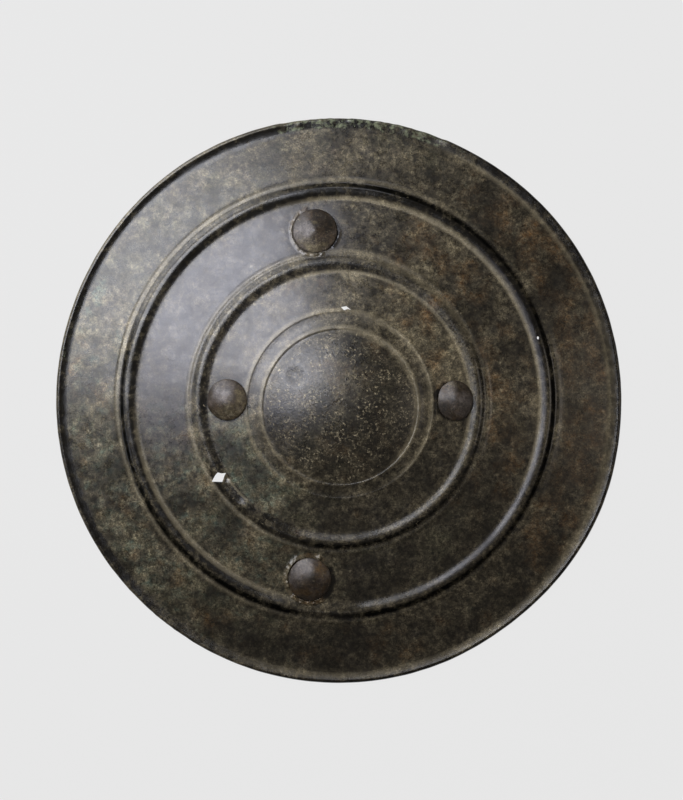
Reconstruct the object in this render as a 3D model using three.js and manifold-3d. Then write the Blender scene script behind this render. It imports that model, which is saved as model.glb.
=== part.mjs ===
// A round bronze buckler that lies face up on its rim: one hammered sheet with a hollow boss, two
// raised ribs and a beaded rim, four large rivets, a grip behind the boss and two strap loops.
// Millimetres, +Z up, +Y towards the top of the shield. The origin is on the floor, at the middle.
import * as THREE from "three";
import { mergeVertices } from "three/addons/utils/BufferGeometryUtils.js";
import Module from "manifold-3d";

const wasm = await Module();
wasm.setup();

// Driving dimensions
const DIAMETER = 400;
const WALL = 1.3; // thickness of the hammered sheet
const STRIP = 1.3; // thickness of the strips of the grip and the strap loops
const GAP = 0.3; // clearance that keeps touching pieces apart
const SEGMENTS = 64;
const HOLE_SEGMENTS = 12;
const CUTTER_HEIGHT = 200; // taller than the whole shield
const MERGE_DISTANCE = 1e-4;

// The dished plate: its face rises from the rim to the foot of the boss.
const PLATE = { edgeHeight: 2.6, rise: 14 };
// The boss is a full, low dome on a ring step. A fine ridge marks the foot of each: it rises at
// once and falls away slowly.
const BOSS = { domeRadius: 54, domeHeight: 8.5, fullness: 2.1, footRadius: 64.5, stepHeight: 1.7 };
const CREASE = { inside: 1.5, outside: 3.6, height: 0.24 };
// Each rib climbs over its inner width and drops less over its outer one, so the plate outside it
// stands a little higher. A low shoulder runs outside it.
const RIBS = [
  { crown: 99.7, inside: 8.4, outside: 5, climb: 2, drop: 1.3 },
  { crown: 149.6, inside: 9, outside: 5.5, climb: 2.5, drop: 1.8 },
];
const SHOULDER = { offset: 6.8, halfWidth: 2.5, height: 0.35 };
// The rim is the sheet's edge, hammered into a bead that leans outwards.
const RIM = {
  footRadius: 192,
  crownRadius: 198.2,
  height: 1.5,
  sweep: 1.6, // how much its climb steepens towards the crown: 1 would be a straight slope
  restFrom: 195.6,
  restTo: 199.2,
};
// The bead's outer side: how far each point lies from the crown's radius to the outline, and its
// height as a share of the crown's
const BEAD = [
  { out: 1, up: 0.2 },
  { out: 1, up: 0.62 },
  { out: 0.6, up: 0.92 },
];

// Where the curved stretches are sampled, as shares of their half width or of their length
const BOSS_STEPS = 8;
const BACK_BOSS_STEPS = 6;
const RIB_SAMPLES = [-1, -0.7, -0.35, 0, 0.5, 1];
const BACK_RIB_SAMPLES = [-1, -0.45, 0, 0.45, 1];
const RIM_SAMPLES = [0, 0.35, 0.7, 1];
const BEND_SAMPLES = [0, 0.25, 0.5, 0.75, 1];
const DOME_STEPS = 6;

// The rings were hammered by eye, so each has a centre of its own.
const RING_CENTRES = [
  { radius: 0, x: 1.2, y: -4.9 },
  { radius: 54, x: 1.2, y: -4.7 },
  { radius: 64.5, x: 1, y: -3.2 },
  { radius: 99.7, x: -0.2, y: -1.2 },
  { radius: 149.6, x: -0.8, y: -0.2 },
  { radius: 192, x: 0, y: 0 },
];
// Places where the outline is pushed out or in. Angles run from +X towards +Y, in degrees.
const OUTLINE_BUMPS = [
  { angle: 337, push: 1, spread: 13 },
  { angle: 306, push: -0.7, spread: 11 },
  { angle: 236, push: -0.3, spread: 14 },
  { angle: 160, push: -0.3, spread: 12 },
  { angle: 117, push: 0.5, spread: 20 },
  { angle: 60, push: -0.9, spread: 15 },
];

// Rivets: a large cone-shaped head in front and a hammered end behind
const GRIP_RIVETS = {
  left: { x: -78.6, y: 0.4, headRadius: 14.4, headHeight: 6.4, stretch: 1.03 },
  right: { x: 81.9, y: -0.2, headRadius: 12.7, headHeight: 6.2, stretch: 1.14 },
};
const STRAP_RIVETS = {
  top: { x: -16.7, y: 119.3, headRadius: 16, headHeight: 7.2, stretch: 1 },
  bottom: { x: -20.4, y: -126.1, headRadius: 15.5, headHeight: 6.4, stretch: 1 },
};
const RIVET = {
  shank: 3.5,
  lip: 0.9,
  undercut: 2.2, // the head's underside rises towards its edge over this width
  taper: 1.35,
  endRadius: 5.5,
  endHeight: 1.5,
  seat: 0.45, // height of the head's underside over the sheet
};
const RIVET_SEGMENTS = 18;

// The grip is a strip with rounded ends, dropped away from the boss, with its sides folded back.
const GRIP = {
  drop: 4.5,
  bendFrom: 62,
  bendTo: 48,
  halfWidth: 10,
  endRadius: 12,
  overhang: 12,
  slack: 0.35, // room for the sheet's round back over the flat ends
};
const FOLD = { height: 4.2, reach: 46, slant: 6, inset: 1 };
// Each strap loop is a strip folded back on itself into an eye, with both ends under a rivet.
const LOOP = {
  width: 15,
  drop: 5.2, // how far the eye hangs below the legs
  eyeLength: 9,
  legFrom: 8,
  neck: 9,
  corner: 1.6,
  flare: 2.4, // how far the lower leg runs past the neck
  pinch: 0.6, // how far the neck closes up
};

// Damage: a spear cut across the inner rib, a tear at the foot of the boss and a pin hole
const SPEAR_CUT = { x: -85.2, y: -54.3, length: 10.6, width: 4.8, turn: 33 };
const TEAR = { x: 4.4, y: 65.1, length: 5.6, width: 2.4, turn: -16 };
const PIN_HOLE = { x: 140.6, y: 44, length: 2.6, width: 1.8, turn: 80 };

const BRONZE = { color: 0x4d4638, roughness: 0.45, metalness: 0.85 };
const DARK_BRONZE = { color: 0x3a332a, roughness: 0.5, metalness: 0.8 };

const rad = THREE.MathUtils.degToRad;

// A round hump: 1 at its middle, 0 from its half width outwards.
function hump(offset, halfWidth) {
  if (Math.abs(offset) >= halfWidth) return 0;
  return Math.cos((Math.PI / 2) * (offset / halfWidth)) ** 2;
}

// How far the plate stands lower inside a rib than outside it
function ribStep(rib) {
  return rib.climb - rib.drop;
}

// Slope of the plate between the ribs, which makes up for their steps
function plateSlope() {
  const steps = RIBS.reduce((sum, rib) => sum + ribStep(rib), 0);
  return (PLATE.rise + steps) / (RIM.footRadius - BOSS.footRadius);
}

function plateHeight(radius) {
  const along = RIM.footRadius - THREE.MathUtils.clamp(radius, BOSS.footRadius, RIM.footRadius);
  const outer = RIBS.filter((rib) => rib.crown > radius);
  const steps = outer.reduce((sum, rib) => sum + ribStep(rib), 0);
  return PLATE.edgeHeight + plateSlope() * along - steps;
}

function bossHeight(radius) {
  const step = (BOSS.footRadius - radius) / (BOSS.footRadius - BOSS.domeRadius);
  const fall = Math.min(radius / BOSS.domeRadius, 1) ** BOSS.fullness;
  return BOSS.stepHeight * THREE.MathUtils.clamp(step, 0, 1) + BOSS.domeHeight * (1 - fall);
}

function ribHeight(radius) {
  return RIBS.reduce((sum, rib) => {
    const offset = radius - rib.crown;
    const shoulder = SHOULDER.height * hump(offset - SHOULDER.offset, SHOULDER.halfWidth);
    const ridge =
      offset < 0 ? rib.climb * hump(offset, rib.inside) : rib.drop * hump(offset, rib.outside);
    return sum + ridge + shoulder;
  }, 0);
}

function creaseHeight(radius) {
  return [BOSS.domeRadius, BOSS.footRadius].reduce((sum, foot) => {
    const offset = radius - foot - CREASE.inside;
    return sum + CREASE.height * hump(offset, offset < 0 ? CREASE.inside : CREASE.outside);
  }, 0);
}

function rimHeight(radius) {
  const climb = (radius - RIM.footRadius) / (RIM.crownRadius - RIM.footRadius);
  return RIM.height * THREE.MathUtils.clamp(climb, 0, 1) ** RIM.sweep;
}

// Height of the front surface at a radius, counted from the centre of its own ring
function faceHeight(radius) {
  return plateHeight(radius) + bossHeight(radius) + ribHeight(radius) + rimHeight(radius);
}

// The centre of the ring of this radius
function ringCentre(radius) {
  const after = RING_CENTRES.findIndex((ring) => ring.radius > radius);
  if (after < 0) return new THREE.Vector2(0, 0);
  const low = RING_CENTRES[after - 1];
  const high = RING_CENTRES[after];
  const share = (radius - low.radius) / (high.radius - low.radius);
  return new THREE.Vector2(
    THREE.MathUtils.lerp(low.x, high.x, share),
    THREE.MathUtils.lerp(low.y, high.y, share),
  );
}

// How far the outline is pushed out at an angle in degrees
function outlinePush(angle) {
  return OUTLINE_BUMPS.reduce((sum, bump) => {
    const away = THREE.MathUtils.euclideanModulo(angle - bump.angle + 180, 360) - 180;
    return sum + bump.push * Math.exp(-((away / bump.spread) ** 2));
  }, 0);
}

// Radius of the ring that passes through a place on the shield
function ringRadiusAt(x, y) {
  let radius = Math.hypot(x, y);
  for (let pass = 0; pass < 6; pass++) {
    const centre = ringCentre(radius);
    radius = Math.hypot(x - centre.x, y - centre.y);
  }
  return radius;
}

// Radii where the front is sampled: the boss, both creases, the ribs with their shoulders, the rim
function faceRadii() {
  const radii = [];
  for (let i = 0; i < BOSS_STEPS; i++) radii.push((BOSS.domeRadius * i) / BOSS_STEPS);
  for (const foot of [BOSS.domeRadius, BOSS.footRadius])
    for (const out of [0, CREASE.inside, CREASE.inside + CREASE.outside]) radii.push(foot + out);
  for (const rib of RIBS) {
    for (const side of RIB_SAMPLES) radii.push(rib.crown + side * (side < 0 ? rib.inside : rib.outside));
    radii.push(rib.crown + SHOULDER.offset, rib.crown + SHOULDER.offset + SHOULDER.halfWidth);
  }
  for (const share of RIM_SAMPLES)
    radii.push(THREE.MathUtils.lerp(RIM.footRadius, RIM.crownRadius, share));
  return radii;
}

// Radii where the back is sampled, where it repeats the front one wall thickness below
function backRadii() {
  const radii = [];
  for (let i = 0; i < BACK_BOSS_STEPS; i++) radii.push((BOSS.domeRadius * i) / BACK_BOSS_STEPS);
  radii.push(BOSS.domeRadius, BOSS.footRadius);
  for (const rib of RIBS)
    for (const side of BACK_RIB_SAMPLES)
      radii.push(rib.crown + side * (side < 0 ? rib.inside : rib.outside));
  radii.push(RIM.footRadius - 1);
  return radii;
}

// The sheet's closed section, from the axis along the back to the rim and back along the front
function sheetSection() {
  const outer = DIAMETER / 2;
  const crown = faceHeight(RIM.crownRadius);
  const back = backRadii().map((r) => new THREE.Vector2(r, faceHeight(r) - WALL));
  const rim = [
    new THREE.Vector2(RIM.restFrom, 0),
    new THREE.Vector2(RIM.restTo, 0),
    ...BEAD.map(
      ({ out, up }) =>
        new THREE.Vector2(THREE.MathUtils.lerp(RIM.crownRadius, outer, out), up * crown),
    ),
  ];
  const front = faceRadii().map((r) => new THREE.Vector2(r, faceHeight(r) + creaseHeight(r)));
  return [...back, ...rim, ...front.reverse()];
}

// A geometry as a manifold solid: corners are merged, and the slivers at a lathe's poles dropped.
function solidOf(geometry) {
  const bare = new THREE.BufferGeometry();
  bare.setAttribute("position", geometry.getAttribute("position"));
  if (geometry.index) bare.setIndex(geometry.index);
  const merged = mergeVertices(bare, MERGE_DISTANCE);
  const corners = merged.index.array;
  const kept = [];
  for (let i = 0; i < corners.length; i += 3) {
    const [a, b, c] = corners.slice(i, i + 3);
    if (a !== b && b !== c && c !== a) kept.push(a, b, c);
  }
  return new wasm.Manifold(
    new wasm.Mesh({
      numProp: 3,
      vertProperties: merged.attributes.position.array,
      triVerts: new Uint32Array(kept),
    }),
  );
}

// A manifold solid back as a flat-shaded geometry
function geometryOf(solid) {
  const mesh = solid.getMesh();
  const positions = new Float32Array(mesh.numVert * 3);
  for (let i = 0; i < mesh.numVert; i++) {
    const from = i * mesh.numProp;
    positions.set(mesh.vertProperties.subarray(from, from + 3), i * 3);
  }
  const indexed = new THREE.BufferGeometry();
  indexed.setAttribute("position", new THREE.BufferAttribute(positions, 3));
  indexed.setIndex(new THREE.BufferAttribute(mesh.triVerts, 1));
  const flat = indexed.toNonIndexed();
  flat.computeVertexNormals();
  return flat;
}

// A lathe turned about the vertical axis
function turned(section, segments) {
  return new THREE.LatheGeometry(section, segments).rotateX(Math.PI / 2);
}

// A tall round pin at a place, for cutting a hole
function pin(x, y, radius) {
  const geometry = new THREE.CylinderGeometry(radius, radius, CUTTER_HEIGHT, HOLE_SEGMENTS);
  return solidOf(geometry.rotateX(Math.PI / 2).translate(x, y, 0));
}

// A tall blade with a lens-shaped section, for cutting a gash
function blade({ x, y, length, width, turn }) {
  const outline = new THREE.Shape();
  outline.moveTo(-length / 2, 0);
  outline.quadraticCurveTo(0, -width, length / 2, 0);
  outline.quadraticCurveTo(0, width, -length / 2, 0);
  const geometry = new THREE.ExtrudeGeometry(outline, {
    depth: CUTTER_HEIGHT,
    bevelEnabled: false,
    curveSegments: 3,
  });
  geometry.translate(0, 0, -CUTTER_HEIGHT / 2).rotateZ(rad(turn));
  return solidOf(geometry.translate(x, y, 0));
}

// Moves each corner of the lathe onto its own ring's centre, and pushes the outline in and out.
function hammeredOutOfRound(geometry) {
  const position = geometry.getAttribute("position");
  const corner = new THREE.Vector3();
  for (let i = 0; i < position.count; i++) {
    corner.fromBufferAttribute(position, i);
    const radius = Math.hypot(corner.x, corner.y);
    const angle = THREE.MathUtils.radToDeg(Math.atan2(corner.y, corner.x));
    const centre = ringCentre(radius);
    const nearRim = THREE.MathUtils.smoothstep(radius, RIM.footRadius - 8, RIM.footRadius);
    const stretch = radius > 0 ? 1 + (outlinePush(angle) * nearRim) / radius : 1;
    position.setXY(i, corner.x * stretch + centre.x, corner.y * stretch + centre.y);
  }
  return geometry;
}

function shieldPlate() {
  let sheet = solidOf(hammeredOutOfRound(turned(sheetSection(), SEGMENTS)));
  for (const { x, y } of [...Object.values(GRIP_RIVETS), ...Object.values(STRAP_RIVETS)])
    sheet = sheet.subtract(pin(x, y, RIVET.shank + 2 * GAP));
  for (const gash of [SPEAR_CUT, TEAR, PIN_HOLE]) sheet = sheet.subtract(blade(gash));
  return geometryOf(sheet);
}

// One rivet, standing on a face at height 0, whose hammered end lies under a given depth.
// An oval head is stretched along Y.
function rivetGeometry({ headRadius, headHeight, stretch }, depth) {
  const { shank, lip, undercut, taper, endRadius, endHeight, seat } = RIVET;
  const section = [
    new THREE.Vector2(0, -depth - endHeight),
    new THREE.Vector2(endRadius, -depth - endHeight),
    new THREE.Vector2(endRadius, -depth),
    new THREE.Vector2(shank, -depth),
    new THREE.Vector2(shank, seat),
    new THREE.Vector2(headRadius - undercut, seat),
    new THREE.Vector2(headRadius, seat + lip / 2),
  ];
  for (let i = 0; i <= DOME_STEPS; i++) {
    const share = 1 - i / DOME_STEPS;
    const dome = (headHeight - lip) * (1 - share ** taper);
    section.push(new THREE.Vector2(headRadius * share, seat + lip + dome));
  }
  const rivet = turned(section, RIVET_SEGMENTS);
  const position = rivet.getAttribute("position");
  for (let i = 0; i < position.count; i++)
    if (position.getZ(i) > seat / 2) position.setY(i, position.getY(i) * stretch);
  return rivet;
}

// A group at a place on the face, whose own Z is square to the dished plate there
function seatedAt({ x, y }) {
  const slope = Math.atan(plateSlope());
  const outwards = new THREE.Vector3(x, y, 0).normalize();
  const normal = outwards.multiplyScalar(Math.sin(slope)).setZ(Math.cos(slope));
  const seat = new THREE.Group();
  seat.position.set(x, y, plateHeight(ringRadiusAt(x, y)));
  seat.quaternion.setFromUnitVectors(new THREE.Vector3(0, 0, 1), normal);
  return seat;
}

// A closed strip of even thickness along a line of points, with its back on the line's left
function stripShape(line, thickness) {
  const half = thickness / 2;
  const sides = line.map((point, i) => {
    const before = line[Math.max(i - 1, 0)];
    const after = line[Math.min(i + 1, line.length - 1)];
    const along = new THREE.Vector2().subVectors(after, before).normalize();
    return new THREE.Vector2(-along.y, along.x).multiplyScalar(half);
  });
  const left = line.map((point, i) => point.clone().add(sides[i]));
  const right = line.map((point, i) => point.clone().sub(sides[i]));
  return new THREE.Shape([...right, ...left.reverse()]);
}

// Height of the middle of the grip's strip at a place along X
function gripHeight(x) {
  const away = Math.abs(x);
  const under = plateHeight(Math.max(away, GRIP.bendFrom)) - WALL - 2 * GAP - STRIP / 2;
  const bent = THREE.MathUtils.smootherstep(GRIP.bendFrom - away, 0, GRIP.bendFrom - GRIP.bendTo);
  return under - GRIP.slack - GRIP.drop * bent;
}

// Seen from the side, the grip's strip from its left end to its right end
function gripStrip() {
  const { left, right } = GRIP_RIVETS;
  const bend = BEND_SAMPLES.map((share) =>
    THREE.MathUtils.lerp(GRIP.bendTo, GRIP.bendFrom, share),
  );
  const places = [
    left.x - GRIP.overhang,
    ...bend.map((x) => -x).reverse(),
    ...bend,
    right.x + GRIP.overhang,
  ];
  return stripShape(
    places.map((x) => new THREE.Vector2(x, gripHeight(x))),
    STRIP,
  );
}

// Seen from above, the grip's outline: a straight waist between two round ends
function gripPlan() {
  const { left, right } = GRIP_RIVETS;
  const { halfWidth, endRadius } = GRIP;
  const turn = Math.asin(halfWidth / endRadius);
  const plan = new THREE.Shape();
  plan.absarc(right.x, right.y, endRadius, Math.PI + turn, 3 * Math.PI - turn, false);
  plan.absarc(left.x, left.y, endRadius, turn, 2 * Math.PI - turn, false);
  return plan;
}

// Seen from the side, one folded side of the grip, from the strip down to its slanted ends
function foldShape() {
  const { height, reach, slant } = FOLD;
  const top = gripHeight(0);
  return new THREE.Shape([
    new THREE.Vector2(slant - reach, top - height),
    new THREE.Vector2(reach - slant, top - height),
    new THREE.Vector2(reach, top),
    new THREE.Vector2(-reach, top),
  ]);
}

// A side view extruded along Y, from one place to another
function acrossGrip(shape, from, to) {
  const geometry = new THREE.ExtrudeGeometry(shape, { depth: to - from, bevelEnabled: false });
  return solidOf(geometry.rotateX(Math.PI / 2).translate(0, to, 0));
}

function handleGrip() {
  const plan = new THREE.ExtrudeGeometry(gripPlan(), {
    depth: CUTTER_HEIGHT,
    bevelEnabled: false,
    curveSegments: 10,
  });
  const reach = 2 * GRIP.endRadius;
  let grip = acrossGrip(gripStrip(), -reach, reach).intersect(solidOf(plan));
  const side = GRIP.halfWidth - FOLD.inset;
  grip = grip.add(acrossGrip(foldShape(), side - STRIP, side));
  grip = grip.add(acrossGrip(foldShape(), -side, STRIP - side));
  for (const { x, y } of Object.values(GRIP_RIVETS))
    grip = grip.subtract(pin(x, y, RIVET.shank + 2 * GAP));
  return geometryOf(grip);
}

// Seen from the side, a strap loop: two legs that meet under the rivet, and the eye beyond them
function loopShape() {
  const { drop, eyeLength, legFrom, neck, corner, flare, pinch } = LOOP;
  const top = -WALL - 2 * GAP;
  const legLow = top - 2 * STRIP;
  const low = legLow - drop;
  const far = -neck - eyeLength - STRIP;
  const shape = new THREE.Shape();
  shape.moveTo(legFrom, legLow);
  shape.lineTo(legFrom, top);
  shape.lineTo(far + corner, top);
  shape.lineTo(far, top - corner);
  shape.lineTo(far, low + corner);
  shape.lineTo(far + corner, low);
  shape.lineTo(-neck - corner, low);
  shape.lineTo(-neck + flare, legLow);
  const eye = new THREE.Path();
  eye.moveTo(far + STRIP, top - STRIP - corner / 2);
  eye.lineTo(far + STRIP + corner / 2, top - STRIP);
  eye.lineTo(-neck - pinch, top - STRIP);
  eye.lineTo(-neck, legLow - pinch);
  eye.lineTo(-neck - corner - pinch, low + STRIP);
  eye.lineTo(far + STRIP + corner / 2, low + STRIP);
  eye.lineTo(far + STRIP, low + STRIP + corner / 2);
  shape.holes.push(eye);
  return shape;
}

// The eye lies towards the middle of the shield: below the rivet at the top, above it at the bottom.
function strapLoop(place) {
  const { width } = LOOP;
  const towardsMiddle = place.y > 0 ? Math.PI / 2 : -Math.PI / 2;
  const strip = new THREE.ExtrudeGeometry(loopShape(), { depth: width, bevelEnabled: false });
  strip.translate(0, 0, -width / 2).rotateX(Math.PI / 2).rotateZ(towardsMiddle);
  return geometryOf(solidOf(strip).subtract(pin(0, 0, RIVET.shank + 2 * GAP)));
}

function named(name, geometry, finish) {
  const mesh = new THREE.Mesh(geometry, new THREE.MeshStandardMaterial(finish));
  mesh.name = name;
  return mesh;
}

const shield = new THREE.Group();
shield.add(named("shield_plate", shieldPlate(), BRONZE));
shield.add(named("handle_grip", handleGrip(), DARK_BRONZE));

for (const [side, place] of Object.entries(GRIP_RIVETS)) {
  const depth = WALL + STRIP + 4 * GAP;
  const seat = seatedAt(place);
  seat.add(named(`handle_rivet_${side}`, rivetGeometry(place, depth), BRONZE));
  shield.add(seat);
}

for (const [side, place] of Object.entries(STRAP_RIVETS)) {
  const depth = WALL + 2 * STRIP + 3 * GAP;
  const seat = seatedAt(place);
  seat.add(named(`strap_rivet_${side}`, rivetGeometry(place, depth), BRONZE));
  seat.add(named(`strap_loop_${side}`, strapLoop(place), DARK_BRONZE));
  shield.add(seat);
}

// The hammered outline isn't quite central, so the middle of its box is set on the origin.
const middle = new THREE.Box3().setFromObject(shield).getCenter(new THREE.Vector3());
shield.position.set(-middle.x, -middle.y, 0);

export default shield;
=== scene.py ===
"""A Bronze Age buckler that lies face up on a pale floor, dressed around its CAD frame.

The hammered sheet, with its boss, ribs and rim, is one turned and then dented mesh. The rivets,
the grip and the strap loops are pieces of their own. Sizes are in millimetres; MM makes metres.
Angles run from +X towards +Y, in degrees.
"""

import logging
import math
from dataclasses import dataclass, field
from enum import Enum
from typing import Callable, Iterable

import bmesh
import bpy
from mathutils import Matrix, Vector, noise


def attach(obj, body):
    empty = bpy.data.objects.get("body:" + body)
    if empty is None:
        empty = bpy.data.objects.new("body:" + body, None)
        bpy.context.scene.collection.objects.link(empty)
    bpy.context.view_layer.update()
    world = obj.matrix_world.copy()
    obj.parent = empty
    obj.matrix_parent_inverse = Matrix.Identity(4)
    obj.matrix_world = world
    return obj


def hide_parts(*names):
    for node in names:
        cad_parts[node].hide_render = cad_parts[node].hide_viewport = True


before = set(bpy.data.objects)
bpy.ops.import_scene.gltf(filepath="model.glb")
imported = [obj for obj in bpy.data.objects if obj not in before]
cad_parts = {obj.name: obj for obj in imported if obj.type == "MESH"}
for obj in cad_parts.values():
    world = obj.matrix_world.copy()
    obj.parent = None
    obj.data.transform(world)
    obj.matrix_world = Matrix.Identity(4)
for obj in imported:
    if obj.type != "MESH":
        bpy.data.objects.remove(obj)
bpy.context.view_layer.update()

MM = 0.001
BODY = "root"
# More degrees than a full turn, so that an arc has no faded ends.
ALL_ROUND = 400.0

Socket = bpy.types.NodeSocket
Value = bpy.types.NodeSocket | float

log = logging.getLogger("buckler")


class Slot(Enum):
    """The material slots of the record."""

    SHEET = "sheet_bronze"
    RIVET = "rivet_bronze"
    STRIP = "strip_bronze"


class Coat(Enum):
    """What lies on the bronze, and the painted light and shade laid among it, with the attribute
    and the channel that say how much.
    """

    # This coat is painted shade on the flanks and round the rivet heads that face away from the
    # lamps, with real dark patina in the rib grooves.
    PAINTED_SHADE_AND_SOOT = ("wear_and_painted_light", 0)
    # This coat is pale rubbed wear, and a painted highlight on some rib and rim flanks that face
    # the lamps.
    RUBBED_AND_PAINTED_HIGHLIGHT = ("wear_and_painted_light", 1)
    CRUST = ("wear_and_painted_light", 2)
    OCHRE = ("tint_and_painted_shade", 0)
    OLIVE = ("tint_and_painted_shade", 1)
    # This coat is dark patina, and painted shade in dents and on the rivets' edges and far sides.
    BLACK = ("tint_and_painted_shade", 2)
    # This coat is a painted highlight: lavender-grey sheen where the lamps shine.
    PAINTED_SHEEN = ("painted_sheen_and_bloom", 0)
    TURQUOISE = ("painted_sheen_and_bloom", 1)
    SPECKS = ("painted_sheen_and_bloom", 2)
    PINK = ("hue", 0)
    DUST = ("hue", 1)


def clamp(value: float, low: float = 0.0, high: float = 1.0) -> float:
    """Returns the value kept between two limits."""
    return max(low, min(high, value))


def smooth(value: float, low: float, high: float) -> float:
    """Returns 0 below low, 1 above high and a smooth rise between them."""
    share = clamp((value - low) / (high - low))
    return share * share * (3 - 2 * share)


def hump(offset: float, half_width: float) -> float:
    """Returns a round hump: 1 in its middle and 0 from its half width outwards."""
    if abs(offset) >= half_width:
        return 0.0
    return math.cos(math.pi / 2 * offset / half_width) ** 2


def turn_between(angle: float, other: float) -> float:
    """Returns how far one angle lies from another, from -180 to 180 degrees."""
    return (angle - other + 180) % 360 - 180


def arc_share(angle: float, start: float, end: float, fade: float) -> float:
    """Returns 1 inside an arc of degrees, 0 outside it and a smooth fade across its ends."""
    half = (end - start) / 2
    away = abs(turn_between(angle, (start + end) / 2))
    return 1 - smooth(away, half - fade, half + fade)


def ripple(x: float, y: float, size: float, seed: float) -> float:
    """Returns smooth noise from -1 to 1 whose waves are about size wide."""
    return noise.noise(Vector((x / size, y / size, seed)))


@dataclass(frozen=True)
class Wave:
    """Waves of the hammering: their height, their width and where in the noise they lie."""

    height: float
    width: float
    seed: float

    def at(self, x: float, y: float) -> float:
        """Returns how high the waves stand at a place."""
        return self.height * ripple(x, y, self.width, self.seed)


@dataclass(frozen=True)
class Rib:
    """A raised ring of the sheet, outside which the plate stands a little higher.

    Args:
        crown: Radius of its highest line.
        inside: Width of its inner flank.
        outside: Width of its outer flank.
        climb: Height of its inner flank.
        drop: Height of its outer flank.
    """

    crown: float
    inside: float
    outside: float
    climb: float
    drop: float

    def step(self) -> float:
        """Returns how far the plate stands lower inside it than outside it."""
        return self.climb - self.drop

    def spans(self, radius: float) -> bool:
        """Tells whether it reaches over a radius."""
        return -self.inside < radius - self.crown < self.outside

    def height(self, radius: float) -> float:
        """Returns its height over the plate beside it."""
        offset = radius - self.crown
        if offset < 0:
            return self.climb * hump(offset, self.inside)
        return self.drop * hump(offset, self.outside)


@dataclass(frozen=True)
class RibDent:
    """An arc of a rib that is beaten down by a share of its height."""

    rib: int
    start: float
    end: float
    loss: float
    fade: float = 2.0


@dataclass(frozen=True)
class RingCentre:
    """The centre about which the rings near one radius were hammered."""

    radius: float
    x: float
    y: float


@dataclass(frozen=True)
class Bump:
    """A place where the outline is pushed out (or in, below 0) over a spread of degrees."""

    angle: float
    push: float
    spread: float


@dataclass(frozen=True)
class WornArc:
    """A stretch of the rim whose bead is corroded away.

    Args:
        start: Angle at which it starts.
        end: Angle at which it ends.
        loss: Share of the bead's height that is gone.
        bite: How deep the edge is nibbled in.
    """

    start: float
    end: float
    loss: float
    bite: float


@dataclass(frozen=True)
class Dent:
    """A round hollow in the sheet, or a swelling where its depth is below 0."""

    x: float
    y: float
    radius: float
    depth: float

    def at(self, x: float, y: float) -> float:
        """Returns how deep it is at a place."""
        if abs(x - self.x) > self.radius or abs(y - self.y) > self.radius:
            return 0.0
        return self.depth * hump(math.hypot(x - self.x, y - self.y), self.radius)


@dataclass(frozen=True)
class Hole:
    """A hole through the sheet, as the corners of its outline."""

    corners: tuple[tuple[float, float], ...]

    def middle(self) -> Vector:
        """Returns the middle of its corners."""
        return sum((Vector(corner) for corner in self.corners), Vector((0, 0))) / len(self.corners)


@dataclass(frozen=True)
class Collar:
    """A ragged collar that the sheet makes round a rivet's head.

    Args:
        x: Place of the rivet.
        y: Place of the rivet.
        radius: Radius of the head.
        width: How far the collar reaches from the head.
        height: How high it stands where it is whole.
        arcs: The stretches (start, end, share of the height) where it is left.
        fade: Degrees over which a stretch ends.
        tooth: Width of the teeth of its edge.
        fall: How it falls outwards: 1 is straight, less is rounder.
    """

    x: float
    y: float
    radius: float
    width: float
    height: float
    arcs: tuple[tuple[float, float, float], ...]
    fade: float = 5.0
    tooth: float = 2.4
    fall: float = 0.6

    def at(self, x: float, y: float) -> float:
        """Returns how high the collar stands at a place."""
        away = math.hypot(x - self.x, y - self.y) - self.radius
        if not 0 < away < self.width:
            return 0.0
        angle = math.degrees(math.atan2(y - self.y, x - self.x))
        left = max(
            share * arc_share(angle, start, end, self.fade) for start, end, share in self.arcs
        )
        ragged = clamp(0.75 + 0.9 * ripple(x, y, self.tooth, 4.0), 0, 1.3)
        return self.height * left * ragged * (1 - away / self.width) ** self.fall


@dataclass(frozen=True)
class Stain:
    """A soft oval patch of a coat."""

    coat: Coat
    x: float
    y: float
    length: float
    width: float
    turn: float = 0.0
    strength: float = 1.0

    def at(self, x: float, y: float) -> float:
        """Returns how strong the stain is at a place."""
        dx, dy = x - self.x, y - self.y
        if abs(dx) + abs(dy) > 4 * self.length:
            return 0.0
        cos, sin = math.cos(math.radians(self.turn)), math.sin(math.radians(self.turn))
        along = (dx * cos + dy * sin) / self.length
        across = (dy * cos - dx * sin) / self.width
        return self.strength * math.exp(-(along * along + across * across))


@dataclass(frozen=True)
class Sector:
    """A patch of a coat that follows the rings, between two radii and two angles."""

    coat: Coat
    inner: float
    outer: float
    start: float = 0.0
    end: float = ALL_ROUND
    strength: float = 1.0
    soft: float = 4.0
    fade: float = 12.0

    def at(self, radius: float, angle: float) -> float:
        """Returns how strong the coat is at a place of a ring."""
        if not self.inner - self.soft < radius < self.outer + self.soft:
            return 0.0
        ring = smooth(radius, self.inner - self.soft, self.inner + self.soft)
        ring *= 1 - smooth(radius, self.outer - self.soft, self.outer + self.soft)
        return self.strength * ring * arc_share(angle, self.start, self.end, self.fade)


def sectors_of(coat: Coat, *rows: tuple[float, ...]) -> tuple[Sector, ...]:
    """Makes the sectors of one coat, each from its other values."""
    return tuple(Sector(coat, *row) for row in rows)


@dataclass(frozen=True)
class Halo:
    """A patch of a coat in a ring, or in an arc of it, round one place."""

    coat: Coat
    x: float
    y: float
    inner: float
    outer: float
    start: float = 0.0
    end: float = ALL_ROUND
    strength: float = 1.0
    soft: float = 1.0
    fade: float = 12.0

    def at(self, x: float, y: float) -> float:
        """Returns how strong the coat is at a place."""
        dx, dy = x - self.x, y - self.y
        if max(abs(dx), abs(dy)) > self.outer + self.soft:
            return 0.0
        away = math.hypot(dx, dy)
        ring = smooth(away, self.inner - self.soft, self.inner + self.soft)
        ring *= 1 - smooth(away, self.outer - self.soft, self.outer + self.soft)
        angle = math.degrees(math.atan2(dy, dx))
        return self.strength * ring * arc_share(angle, self.start, self.end, self.fade)


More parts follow.
